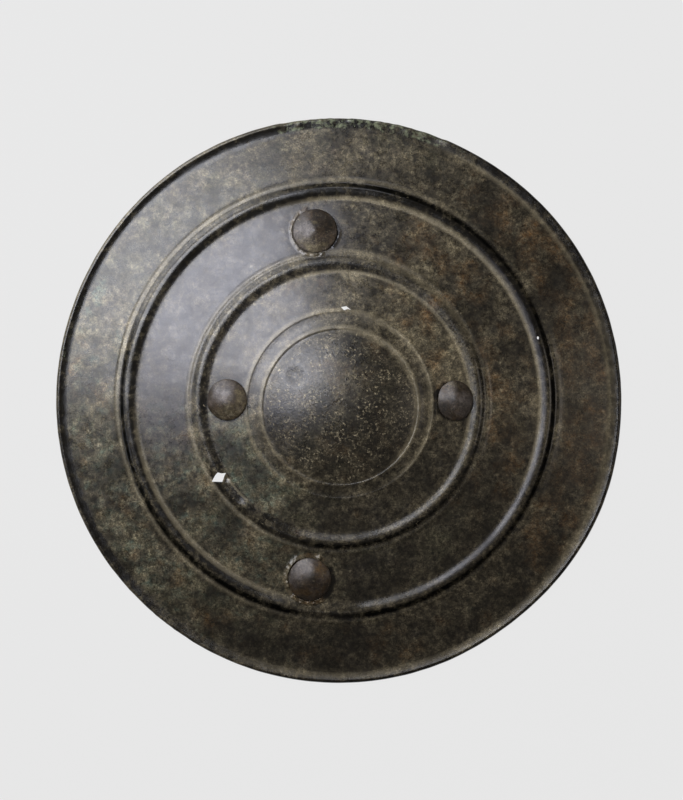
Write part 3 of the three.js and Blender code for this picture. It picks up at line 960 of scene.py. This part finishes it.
@dataclass
class SheetPatina:
    """Where each coat lies on the sheet."""

    form: SheetForm = field(default_factory=lambda: FORM)
    back_share: float = 0.3
    sectors: tuple[Sector, ...] = (
        *sectors_of(
            Coat.SPECKS,
            (0, 54, 0, ALL_ROUND, 1.0, 4),
            (54, 66, 0, ALL_ROUND, 0.6, 2),
            (66, 200, 0, ALL_ROUND, 0.22, 6),
            (92, 108, 0, ALL_ROUND, 0.6, 2),
            (142, 156, 0, ALL_ROUND, 0.3, 2),
        ),
        # Painted shade on the rib and rim flanks that face away from the lamps, over real dark
        # patina in the rib grooves.
        *sectors_of(
            Coat.PAINTED_SHADE_AND_SOOT,
            (92.5, 99, 70, 250, 0.6, 1.5, 15),
            (99.5, 104, 205, 385, 0.7, 1.5, 15),
            (142.5, 149, 95, 250, 0.8, 1.5, 15),
            (145.5, 150.5, 5, 110, 0.9, 1.2, 10),
            (150, 154.5, 160, 450, 0.85, 1.5, 12),
            (192.5, 198.2, 75, 222, 1.0, 1.2, 15),
            (193.5, 197.5, 205, 262, 0.5, 1.2, 15),
            (193.5, 199.7, 345, 424, 0.8, 1.0, 8),
            (198, 200, 255, 350, 0.9, 0.8, 10),
        ),
        # Pale rubbed lines on creases, rib feet and shoulders. On the rim's inner flank at the
        # lower right and right, the bead's edge at the upper left and the rib flanks near 45 and
        # 225 degrees they are painted highlights.
        *sectors_of(
            Coat.RUBBED_AND_PAINTED_HIGHLIGHT,
            (192.5, 196.5, 250, 345, 0.5, 1.2, 12),
            (193, 196.5, -25, 22, 0.35, 1.2, 12),
            (198.4, 200, 100, 170, 0.5, 0.7, 15),
            (190.4, 192.4, -35, 64, 0.7, 0.7, 8),
            (55, 57.5, 70, 235, 0.6, 0.8, 20),
            (52.3, 56.3, -45, 85, 0.8, 1, 15),
            (65.5, 68, 60, 235, 0.6, 0.8, 20),
            (63.4, 66, -50, 80, 0.75, 0.9, 15),
            (91.4, 93.6, -20, 110, 0.8, 0.8),
            (94, 95.3, 212, 228, 0.9, 0.5, 3),
            (104.6, 107.5, 60, 250, 0.45, 1.2, 20),
            (141.6, 144.2, -20, 100, 1.0, 0.8),
            (143, 146, 25, 75, 0.5, 1.2, 15),
            (101, 105, 25, 75, 0.45, 1.2, 15),
            (141.5, 145, 190, 250, 0.9, 1, 15),
            (154.6, 157.5, 60, 250, 0.45, 1.2, 20),
        ),
        *sectors_of(
            Coat.CRUST,
            (192, 201, 66, 104, 0.9, 2, 4),
            (190.5, 193.5, 320, 385, 0.5, 1.5, 10),
            (194, 200, 152, 176, 0.5, 2, 6),
            (193, 200, 215, 262, 0.35, 2, 10),
        ),
        # Painted sheen: a lavender-grey highlight on the upper left, where the lamps shine, and on
        # the outer rib's inner flank at the lower right.
        *sectors_of(
            Coat.PAINTED_SHEEN,
            (106, 141, 95, 195, 1.0, 4, 20),
            (66, 92, 100, 185, 0.6, 6, 22),
            (25, 54, 110, 205, 0.5, 8, 25),
            (158, 192, 112, 160, 0.12, 5, 15),
            (143.5, 147.5, 295, 405, 0.8, 1.2, 10),
            (54, 80, 115, 170, 0.7, 4, 15),
        ),
        *sectors_of(
            Coat.OLIVE,
            (158, 193, 120, 262, 0.8, 5, 25),
            (104, 142, 190, 330, 0.6, 5, 25),
            (62, 92, 185, 265, 0.8, 5, 25),
            (158, 193, 60, 130, 0.4, 5, 20),
            (0, 50, 0, ALL_ROUND, 0.4, 8),
        ),
        *sectors_of(
            Coat.DUST,
            (66, 93, -10, 90, 1.0, 5, 20),
            (56, 66, 10, 130, 0.6, 3, 20),
            # This pale dust at the boss's foot on the upper left also serves as a painted
            # highlight.
            (54, 82, 105, 180, 1.0, 4, 15),
            (104, 142, -35, 80, 0.5, 5, 20),
            (64, 93, 175, 245, 0.8, 5, 15),
            (104, 142, 160, 262, 0.6, 5, 15),
            (158, 193, 60, 120, 0.45, 5, 15),
            (158, 193, 165, 240, 0.4, 5, 20),
        ),
        *sectors_of(
            Coat.TURQUOISE,
            (158, 193, 165, 250, 0.42, 5, 20),
            (104, 142, 185, 262, 0.5, 5, 20),
            (64, 93, 180, 245, 0.6, 5, 15),
        ),
        *sectors_of(
            Coat.OCHRE,
            (158, 192, 165, 245, 0.45, 5, 20),
            (106, 141, 170, 250, 0.4, 5, 20),
            (158, 192, -45, 62, 0.85, 5, 15),
            (104, 141, -40, 75, 0.65, 5, 20),
            (66, 93, -20, 80, 0.65, 5, 20),
            (160, 192, 240, 300, 0.5, 5, 20),
            (0, 50, 0, ALL_ROUND, 0.5, 6),
        ),
        # Black, darker on the lower right half of the plate's zones and of the boss.
        *sectors_of(
            Coat.BLACK,
            (158, 193, 230, 425, 0.45, 5, 20),
            (104, 142, 245, 350, 0.5, 5, 20),
            (66, 93, 250, 345, 0.6, 5, 20),
            (0, 50, 0, ALL_ROUND, 0.7, 6),
            (0, 54, 190, 410, 0.6, 8, 30),
        ),
        Sector(Coat.PINK, 158, 192, 80, 150, 0.35, 5, 20),
    )
    stains: tuple[Stain | Halo, ...] = (
        Stain(Coat.TURQUOISE, -171, 75, 16, 5, 66),
        Stain(Coat.TURQUOISE, -181, 20, 9, 6, 90, 0.6),
        Stain(Coat.TURQUOISE, -62, -52, 28, 15, -50, 0.4),
        Stain(Coat.TURQUOISE, -124, -12, 34, 13, 90, 0.4),
        Stain(Coat.TURQUOISE, -150, -75, 40, 16, 115, 0.35),
        Stain(Coat.PINK, -168, 47, 18, 11, 70, 0.9),
        # Painted shade in the hollow of the dent on the boss.
        Stain(Coat.BLACK, -32, 19, 12, 7, 55, 0.7),
        Stain(Coat.BLACK, 6, 34, 12, 7, 20, 0.7),
        Stain(Coat.OCHRE, -6, -28, 14, 8, -20, 0.8),
        Stain(Coat.OCHRE, 14, 2, 12, 9, 30, 0.7),
        Halo(Coat.PINK, -78.6, 0.4, 13, 20, strength=0.5, soft=3),
        Stain(Coat.OCHRE, -13.3, 81.6, 8, 5, 90, 1.0),
        Stain(Coat.OCHRE, 69.5, 71, 9, 6, 0, 0.8),
        Stain(Coat.OCHRE, 121, 137, 22, 12, -40, 0.6),
        Stain(Coat.OCHRE, 148, 100, 20, 15, 0, 0.5),
        Stain(Coat.OCHRE, -42, -38, 11, 6, -40, 0.8),
        Stain(Coat.OCHRE, -46, -8, 7, 9, 0, 0.7),
        Stain(Coat.OCHRE, -91, -156, 14, 9, -25, 0.8),
        Stain(Coat.BLACK, 99.3, 139.8, 17, 9, -35, 1.0),
        Stain(Coat.BLACK, -162.4, -93, 6, 4, 60, 1.0),
        Stain(Coat.BLACK, -75, -163, 20, 8, -25, 1.0),
        Stain(Coat.BLACK, -18.9, -174, 30, 12, 0, 1.0),
        # Painted shadow in the gap left of the right rivet's head.
        Stain(Coat.PAINTED_SHADE_AND_SOOT, 67.2, -1.5, 14, 2.0, 90, 1.0),
        Stain(Coat.RUBBED_AND_PAINTED_HIGHLIGHT, -80.7, -55.0, 3.4, 0.8, 72, 1.0),
        Stain(Coat.SPECKS, 84.4, 79.5, 6, 4, 0, 1.0),
        Stain(Coat.SPECKS, 32.7, 16, 10, 6, -30, 1.0),
        Stain(Coat.SPECKS, -121.5, 29, 8, 5, 0, 1.0),
        Stain(Coat.SPECKS, -74.9, 115.6, 4, 3, 0, 1.0),
        Stain(Coat.SPECKS, -109, 52.6, 4, 3, 0, 1.0),
        Halo(Coat.OCHRE, -20.4, -126.1, 14.6, 18.6, 45, 310, 1.0),
        Halo(Coat.RUBBED_AND_PAINTED_HIGHLIGHT, -20.4, -126.1, 15, 18.2, 100, 215, 0.6),
        Halo(Coat.RUBBED_AND_PAINTED_HIGHLIGHT, -20.4, -126.1, 15, 18.4, 55, 80, 0.6),
        Halo(Coat.OCHRE, -16.7, 119.3, 15.2, 18.4, 110, 300, 0.9),
        Halo(Coat.RUBBED_AND_PAINTED_HIGHLIGHT, -16.7, 119.3, 15.5, 18.2, 120, 290, 0.35),
        # Painted shadows round the rivet heads, on their sides away from the lamps.
        Halo(Coat.PAINTED_SHADE_AND_SOOT, -20.4, -126.1, 15, 18, 300, 400, 0.9),
        Halo(Coat.PAINTED_SHADE_AND_SOOT, -16.7, 119.3, 15.5, 17.6, 270, 400, 0.9),
        Halo(Coat.PAINTED_SHADE_AND_SOOT, -78.6, 0.4, 13.8, 15.6, 230, 380, 0.9),
        Halo(Coat.PAINTED_SHADE_AND_SOOT, 81.9, -0.2, 12, 15, 110, 250, 0.9),
        Halo(Coat.PAINTED_SHADE_AND_SOOT, 81.9, -0.2, 12, 14.6, 290, 380, 0.8),
    )

    def paint(self, piece: bpy.types.Object) -> None:
        """Writes the share of every coat at each vertex into the piece's attributes.

        The back carries the same coats, but fainter.
        """

        def coats_at(vert: bpy.types.MeshVertex) -> list[tuple[Coat, float]]:
            """Returns the coats that lie at a vertex, and their shares."""
            x, y = vert.co.x / MM, vert.co.y / MM
            radius, angle = self.form.ring_at(x, y)
            whole = 1.0 if vert.normal.z > 0 else self.back_share
            shares = [(sector.coat, whole * sector.at(radius, angle)) for sector in self.sectors]
            return shares + [(stain.coat, whole * stain.at(x, y)) for stain in self.stains]

        write_coats(piece, coats_at)


@dataclass(frozen=True)
class RivetBronze:
    """Hammered bronze rivet heads under waxed patina.

    They are smoother than the sheet. The eye sees warm grey-brown with black and beige crust, a
    painted highlight on each head's lit side and painted shade at its edge and far side.
    """

    brown: str = "#3a2f23"
    umber: str = "#251e15"
    ochre: str = "#5b4527"
    black: str = "#0d0b08"
    # Colour of the painted highlight on each head's lit side.
    lavender: str = "#524d4a"
    dust: str = "#665d44"
    specks: str = "#7f7661"

    def material(self) -> bpy.types.Material:
        """Builds the material."""
        p = Patina("patinated_rivet_bronze")
        colour = p.over(self.brown, self.umber, p.cloud(9, 0.38, 0.62, 3.1, 8, 0.7))
        colour = p.over(colour, self.ochre, p.ragged(Coat.OCHRE, 9, 0.3, 0.7, 7.7))
        # Painted highlight on each head's lit side.
        colour = p.over(colour, self.lavender, p.ragged(Coat.PAINTED_SHEEN, 8, 0.2, 0.6, 2.9))
        colour = p.over(colour, self.dust, p.ragged(Coat.DUST, 4, 0.3, 0.7, 6.9))
        # Black patina, and painted shade at the heads' edges and hollows.
        colour = p.over(colour, self.black, p.ragged(Coat.BLACK, 5, 0.3, 0.66, 9.2))
        colour = p.scaled(
            colour,
            p.cloud(5, 0.3, 0.7, 4.2, 5, 0.7, (0.6, 1.4)),
            p.cloud(1.4, 0.3, 0.7, 8.1, 3, 0.7, (0.4, 1.6)),
        )
        colour = p.over(colour, self.specks, p.ragged(Coat.SPECKS, 2, 0.5, 0.68, 2.2, 4, 0.85, 0.2))
        roughness = p.cloud(8, 0.3, 0.7, 3.9, 5, 0.6, (0.36, 0.5))
        coarse = p.cloud(5, 0.3, 0.7, 5.8, 4, 0.6)
        grain = p.times(p.cloud(1.4, 0.3, 0.7, 8.8, 4, 0.6), p.coat(Coat.DUST))
        return p.finish(colour, roughness, 0.15, ((coarse, 0.35, 0.14), (grain, 0.6, 0.1)))


@dataclass(frozen=True)
class StripBronze:
    """Cut and folded bronze strip behind the sheet: dull brown, greener and rougher in patches."""

    brown: str = "#3a3022"
    olive: str = "#343a2c"
    rubbed: str = "#6d5b3c"

    def material(self) -> bpy.types.Material:
        """Builds the material."""
        p = Patina("patinated_strip_bronze")
        colour = p.over(self.brown, self.olive, p.cloud(12, 0.42, 0.6, 1.1, 6, 0.65))
        colour = p.over(colour, self.rubbed, p.cloud(6, 0.56, 0.7, 5.1, 6, 0.65))
        colour = p.scaled(colour, p.cloud(1.8, 0.3, 0.7, 2.7, 4, 0.7, (0.55, 1.45)))
        roughness = p.cloud(9, 0.3, 0.7, 4.9, 4, 0.6, (0.38, 0.58))
        return p.finish(colour, roughness, 0.3, ((p.cloud(3, 0.3, 0.7, 6.8, 4, 0.6), 0.4, 0.12),))


@dataclass(frozen=True)
class StripPiece:
    """A bent or folded strip behind the sheet, with its edges worn round.

    Args:
        name: Name of the piece.
        node: The CAD node that it is made of.
        edge: How far its edges are worn back.
        crease: Edges that turn more than this many degrees are worn.
    """

    name: str
    node: str
    edge: float = 0.3
    crease: float = 30.0

    def build(self, source: bpy.types.Object) -> bpy.types.Object:
        """Builds the piece's mesh from the CAD solid."""
        bm = bmesh.new()
        bm.from_mesh(source.data)
        bmesh.ops.transform(bm, matrix=source.matrix_world, verts=bm.verts)
        bmesh.ops.remove_doubles(bm, verts=bm.verts, dist=1e-6)
        bmesh.ops.dissolve_limit(
            bm, angle_limit=math.radians(1), use_dissolve_boundaries=False, verts=bm.verts,
            edges=bm.edges, delimit=set(),
        )
        bmesh.ops.recalc_face_normals(bm, faces=bm.faces)
        worn = [
            edge for edge in bm.edges
            if edge.is_manifold and edge.calc_face_angle(0.0) > math.radians(self.crease)
        ]
        bmesh.ops.bevel(
            bm, geom=worn, offset=self.edge * MM, offset_type="OFFSET", segments=2, profile=0.5,
            affect="EDGES", clamp_overlap=True, material=-1,
        )
        bmesh.ops.triangulate(bm, faces=bm.faces)
        piece = mesh_object(self.name, bm)
        weigh = piece.modifiers.new("flat_faces_stay_flat", "WEIGHTED_NORMAL")
        weigh.keep_sharp = True
        return piece


@dataclass
class Rivet:
    """A rivet with a large low head, seated square on the plate.

    Args:
        name: Name of the piece.
        node: The CAD node that it stands for.
        x: Its place on the shield.
        y: Its place on the shield.
        head_radius: Radius of the head.
        head_height: Height of the head.
        depth: How far the hammered end lies under the sheet's face.
        stretch: How much longer the head is along Y than along X.
        seed: Where in the noise its dents are taken.
        taper: 1 makes the head a cone, 2 a dome.
        dents: Hollows in the head, placed from its middle.
        marks: Patches of coats, placed from its middle.
        shank: Radius of the shank.
        lip: Height of the head's edge.
        undercut: How far the head's underside reaches in from its edge.
        end_radius: Radius of the hammered end.
        end_height: Height of the hammered end.
        seat: How far the head stands off the plate's face.
        steps: How many faces stand round its axis.
        rings: How many rings its head has.
    """

    name: str
    node: str
    x: float
    y: float
    head_radius: float
    head_height: float
    depth: float
    stretch: float = 1.0
    seed: float = 1.0
    taper: float = 1.5
    dents: tuple[Dent, ...] = ()
    marks: tuple[Stain, ...] = ()
    shank: float = 3.5
    lip: float = 0.9
    undercut: float = 2.2
    end_radius: float = 5.5
    end_height: float = 1.5
    seat: float = 0.45
    steps: int = 88
    rings: int = 26

    def section(self) -> list[tuple[float, float]]:
        """Returns the rivet's section, from its hammered end to the tip of its head."""
        back = -self.depth - self.end_height
        edge = self.head_radius
        points = [
            (0, back),
            (self.end_radius - 0.8, back),
            (self.end_radius - 0.2, back + 0.25),
            (self.end_radius, back + 0.8),
            (self.end_radius, -self.depth),
            (self.shank, -self.depth),
            (self.shank, self.seat),
            (edge - self.undercut, self.seat),
            (edge - 0.35, self.seat + self.lip * 0.4),
            (edge, self.seat + self.lip * 0.65),
        ]
        for i in range(self.rings + 1):
            share = 1 - i / self.rings
            dome = (self.head_height - self.lip) * (1 - share**self.taper)
            points.append((edge * share * 0.992, self.seat + self.lip + dome))
        return points

    def build(self) -> bpy.types.Object:
        """Builds the rivet's mesh."""
        bm = spun(self.section(), self.steps)
        edge = self.head_radius
        for vert in bm.verts:
            if vert.co.z < self.seat / 2:
                continue
            share = math.hypot(vert.co.x, vert.co.y) / edge
            bend = Wave(0.35, 8, self.seed).at(vert.co.x + 50 * self.seed, vert.co.y)
            fine = Wave(0.07, 2.6, self.seed + 3).at(vert.co.x, vert.co.y)
            vert.co.z += (bend + fine) * (1 - 0.75 * share)
            for dent in self.dents:
                vert.co.z -= dent.at(vert.co.x, vert.co.y) * smooth(vert.co.z, self.seat, 2)
            pull = 1 - 0.02 * share * (1 + ripple(vert.co.x, vert.co.y, 7, self.seed + 8))
            vert.co.x *= pull
            vert.co.y *= pull * self.stretch
        bmesh.ops.scale(bm, vec=(MM, MM, MM), verts=bm.verts)
        bmesh.ops.transform(bm, matrix=FORM.seat(self.x, self.y), verts=bm.verts)
        return mesh_object(self.name, bm)

    def paint(self, piece: bpy.types.Object) -> None:
        """Writes the rivet's coats: its own marks, and painted shade along its edge."""

        def coats_at(vert: bpy.types.MeshVertex) -> list[tuple[Coat, float]]:
            """Returns the coats that lie at a vertex, and their shares."""
            x, y = vert.co.x / MM - self.x, vert.co.y / MM - self.y
            reach = math.hypot(x, y / self.stretch) / self.head_radius
            shares = [(mark.coat, mark.at(x, y)) for mark in self.marks]
            # Painted shade darkens the head towards its edge, where it meets the plate.
            return [*shares, (Coat.BLACK, 0.8 * smooth(reach, 0.9, 1.0)), (Coat.SPECKS, 0.6)]

        write_coats(piece, coats_at)


@dataclass(frozen=True)
class Lamp:
    """A soft lamp that the camera doesn't see: its place, aim and sizes in metres, its power."""

    name: str
    place: tuple[float, float, float]
    aim: tuple[float, float, float]
    width: float
    height: float
    power: float
    colour: str

    def hang(self) -> None:
        """Hangs the lamp."""
        data = bpy.data.lights.new(self.name, "AREA")
        data.shape = "RECTANGLE"
        data.size = self.width
        data.size_y = self.height
        data.energy = self.power
        data.color = linear(self.colour)[:3]
        lamp = bpy.data.objects.new(self.name, data)
        lamp.location = self.place
        towards = Vector(self.aim) - lamp.location
        lamp.rotation_euler = towards.to_track_quat("-Z", "Y").to_euler()
        lamp.visible_camera = False
        bpy.context.scene.collection.objects.link(lamp)


@dataclass
class Studio:
    """A pale floor, soft lamps, the brightest at the upper left, and a camera over the shield."""

    floor_side: float = 12.0
    glow: str = "#e6e6e6"
    shade: str = "#181818"
    camera_height: float = 3.0
    frame_width: float = 483.4
    camera_x: float = 1.95
    camera_y: float = 0.22
    sensor: float = 36.0
    room: float = 0.015
    lamps: tuple[Lamp, ...] = (
        Lamp("softbox", (-0.215, 0.152, 0.40), (-0.215, 0.152, 0), 0.32, 0.26, 2.5, "#f4f6ff"),
        Lamp("window", (-0.72, 0.70, 0.45), (0, 0, 0), 0.8, 0.4, 6.5, "#f1f4ff"),
        Lamp("top_strip", (-0.20, 0.45, 0.40), (-0.20, 0.45, 0), 0.6, 0.15, 0.8, "#f4f6ff"),
        Lamp("left_strip", (-0.60, 0.0, 0.40), (-0.60, 0.0, 0), 0.15, 0.45, 0.5, "#f4f6ff"),
        Lamp("right_card", (0.42, 0.0, 0.40), (0.42, 0.0, 0), 0.2, 0.2, 0.25, "#fff4e8"),
        Lamp("ceiling", (0.10, 0.05, 0.45), (0.10, 0.05, 0), 1.2, 1.1, 0.75, "#fff0e0"),
    )

    def floor(self) -> None:
        """Lays the floor, which glows so that it stays evenly pale."""
        bm = bmesh.new()
        bmesh.ops.create_grid(bm, x_segments=1, y_segments=1, size=self.floor_side / 2)
        piece = mesh_object("floor", bm)
        material = bpy.data.materials.new("pale_floor")
        material.use_nodes = True
        tree = material.node_tree
        tree.nodes.clear()
        shader = add_node(
            tree, "ShaderNodeBsdfPrincipled",
            {
                "Base Color": linear(self.shade), "Roughness": 0.9, "Specular IOR Level": 0.0,
                "Emission Color": linear(self.glow), "Emission Strength": 1.0,
            },
        )
        add_node(tree, "ShaderNodeOutputMaterial", {"Surface": shader.outputs[0]})
        piece.data.materials.append(material)

    def camera(self) -> None:
        """Hangs the camera over the shield."""
        data = bpy.data.cameras.new("camera")
        data.sensor_fit = "HORIZONTAL"
        data.sensor_width = self.sensor
        data.lens = self.sensor * self.camera_height / (self.frame_width * MM)
        data.clip_end = 100
        camera = bpy.data.objects.new("camera", data)
        camera.location = (self.camera_x * MM, self.camera_y * MM, self.camera_height)
        bpy.context.scene.collection.objects.link(camera)
        bpy.context.scene.camera = camera

    def surroundings(self) -> None:
        """Makes a room that looks pale but lights the shield only a little."""
        world = bpy.data.worlds.new("studio")
        world.use_nodes = True
        tree = world.node_tree
        tree.nodes.clear()
        path = add_node(tree, "ShaderNodeLightPath")
        lit = add_node(tree, "ShaderNodeBackground", {0: linear("#ffffff"), 1: self.room})
        seen = add_node(tree, "ShaderNodeBackground", {0: linear("#e8e8e8"), 1: 1.0})
        both = add_node(
            tree, "ShaderNodeMixShader",
            {0: path.outputs["Is Camera Ray"], 1: lit.outputs[0], 2: seen.outputs[0]},
        )
        add_node(tree, "ShaderNodeOutputWorld", {0: both.outputs[0]})
        bpy.context.scene.world = world

    def build(self) -> None:
        """Sets up the floor, the lamps, the surroundings and the camera."""
        self.floor()
        self.camera()
        self.surroundings()
        for lamp in self.lamps:
            lamp.hang()
        bpy.context.scene.view_settings.view_transform = "Standard"


RIVETS = (
    Rivet(
        "rivet_left", "handle_rivet_left", -78.6, 0.4, 14.4, 6.4, 3.8, stretch=1.03, seed=1.0,
        taper=1.8,
        marks=(
            # Painted highlight on the upper left, facing the lamp.
            Stain(Coat.PAINTED_SHEEN, -4, 5, 10, 7, 45, 1.0),
            Stain(Coat.DUST, 2, -8, 11, 6, 10, 1.0),
            Stain(Coat.DUST, 9, 3, 8, 4, 110, 1.0),
            Stain(Coat.SPECKS, 2, -9, 11, 6, 10, 1.0),
            Stain(Coat.BLACK, 2, -7, 12, 6, 5, 0.7),
        ),
    ),
    Rivet(
        "rivet_right", "handle_rivet_right", 81.9, -0.2, 12.7, 6.2, 3.8, stretch=1.14, seed=2.0,
        taper=1.7,
        dents=(Dent(-5, -3, 10, 1.1), Dent(-6, 7, 9, 0.9)),
        marks=(
            # Painted highlight on the right side.
            Stain(Coat.PAINTED_SHEEN, 7, -3, 11, 6, 80, 1.0),
            Stain(Coat.DUST, -3, 11, 8, 4, 10, 0.7),
            Stain(Coat.OCHRE, -5, 8, 7, 4, 30, 0.8),
            # Painted shade in the hollow of the dents.
            Stain(Coat.BLACK, -2, -1, 9, 4, 40, 1.0),
            Stain(Coat.BLACK, -8, -6, 7, 7, 0, 1.0),
        ),
    ),
    Rivet(
        "rivet_top", "strap_rivet_top", -16.7, 119.3, 16.0, 7.2, 4.8, seed=3.0, taper=1.2,
        marks=(
            # Painted highlight on the left, facing the lamp.
            Stain(Coat.PAINTED_SHEEN, -9, 0, 9, 7, 0, 1.0),
            # This black and the black two lines down are painted shade on the side away from the
            # lamp.
            Stain(Coat.BLACK, 4, 7, 12, 8, -30, 0.9),
            Stain(Coat.OCHRE, -2, 11, 9, 4, 10, 0.5),
            Stain(Coat.BLACK, 8, 0, 6, 9, 0, 0.8),
            Stain(Coat.DUST, -2, -11, 11, 4, 0, 1.0),
            Stain(Coat.DUST, -8, -7, 6, 4, -45, 0.8),
            Stain(Coat.SPECKS, -1, -10, 11, 5, 0, 0.9),
            Stain(Coat.DUST, 0, 6, 5, 1.5, 0, 0.8),
        ),
    ),
    Rivet(
        "rivet_bottom", "strap_rivet_bottom", -20.4, -126.1, 15.5, 6.4, 4.8, seed=4.0, taper=1.9,
        dents=(Dent(-5, 6, 10, 0.8),),
        marks=(
            Stain(Coat.BLACK, 1.5, 0, 6, 6, 0, 1.0),
            Stain(Coat.OCHRE, 7, 7, 9, 6, -45, 1.0),
            Stain(Coat.OCHRE, -4, -9, 12, 6, 10, 0.6),
            # Painted highlight on the upper left, facing the lamp.
            Stain(Coat.PAINTED_SHEEN, -7, 7, 8, 5, 45, 0.7),
        ),
    ),
)


STRIPS = (
    StripPiece("grip", "handle_grip"),
    StripPiece("loop_top", "strap_loop_top"),
    StripPiece("loop_bottom", "strap_loop_bottom"),
)


def main() -> None:
    """Builds the shield, piece by piece, and the studio around it."""
    logging.basicConfig(level=logging.INFO, format="%(name)s: %(message)s")
    Studio().build()
    plate = Sheet().build()
    SheetPatina().paint(plate)
    dress(plate, SheetBronze().material(), Slot.SHEET, "shield_plate")
    strip_bronze = StripBronze().material()
    for strip in STRIPS:
        dress(strip.build(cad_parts[strip.node]), strip_bronze, Slot.STRIP, strip.node)
    rivet_bronze = RivetBronze().material()
    for rivet in RIVETS:
        piece = rivet.build()
        rivet.paint(piece)
        dress(piece, rivet_bronze, Slot.RIVET, rivet.node)


if __name__ == "__main__":
    main()
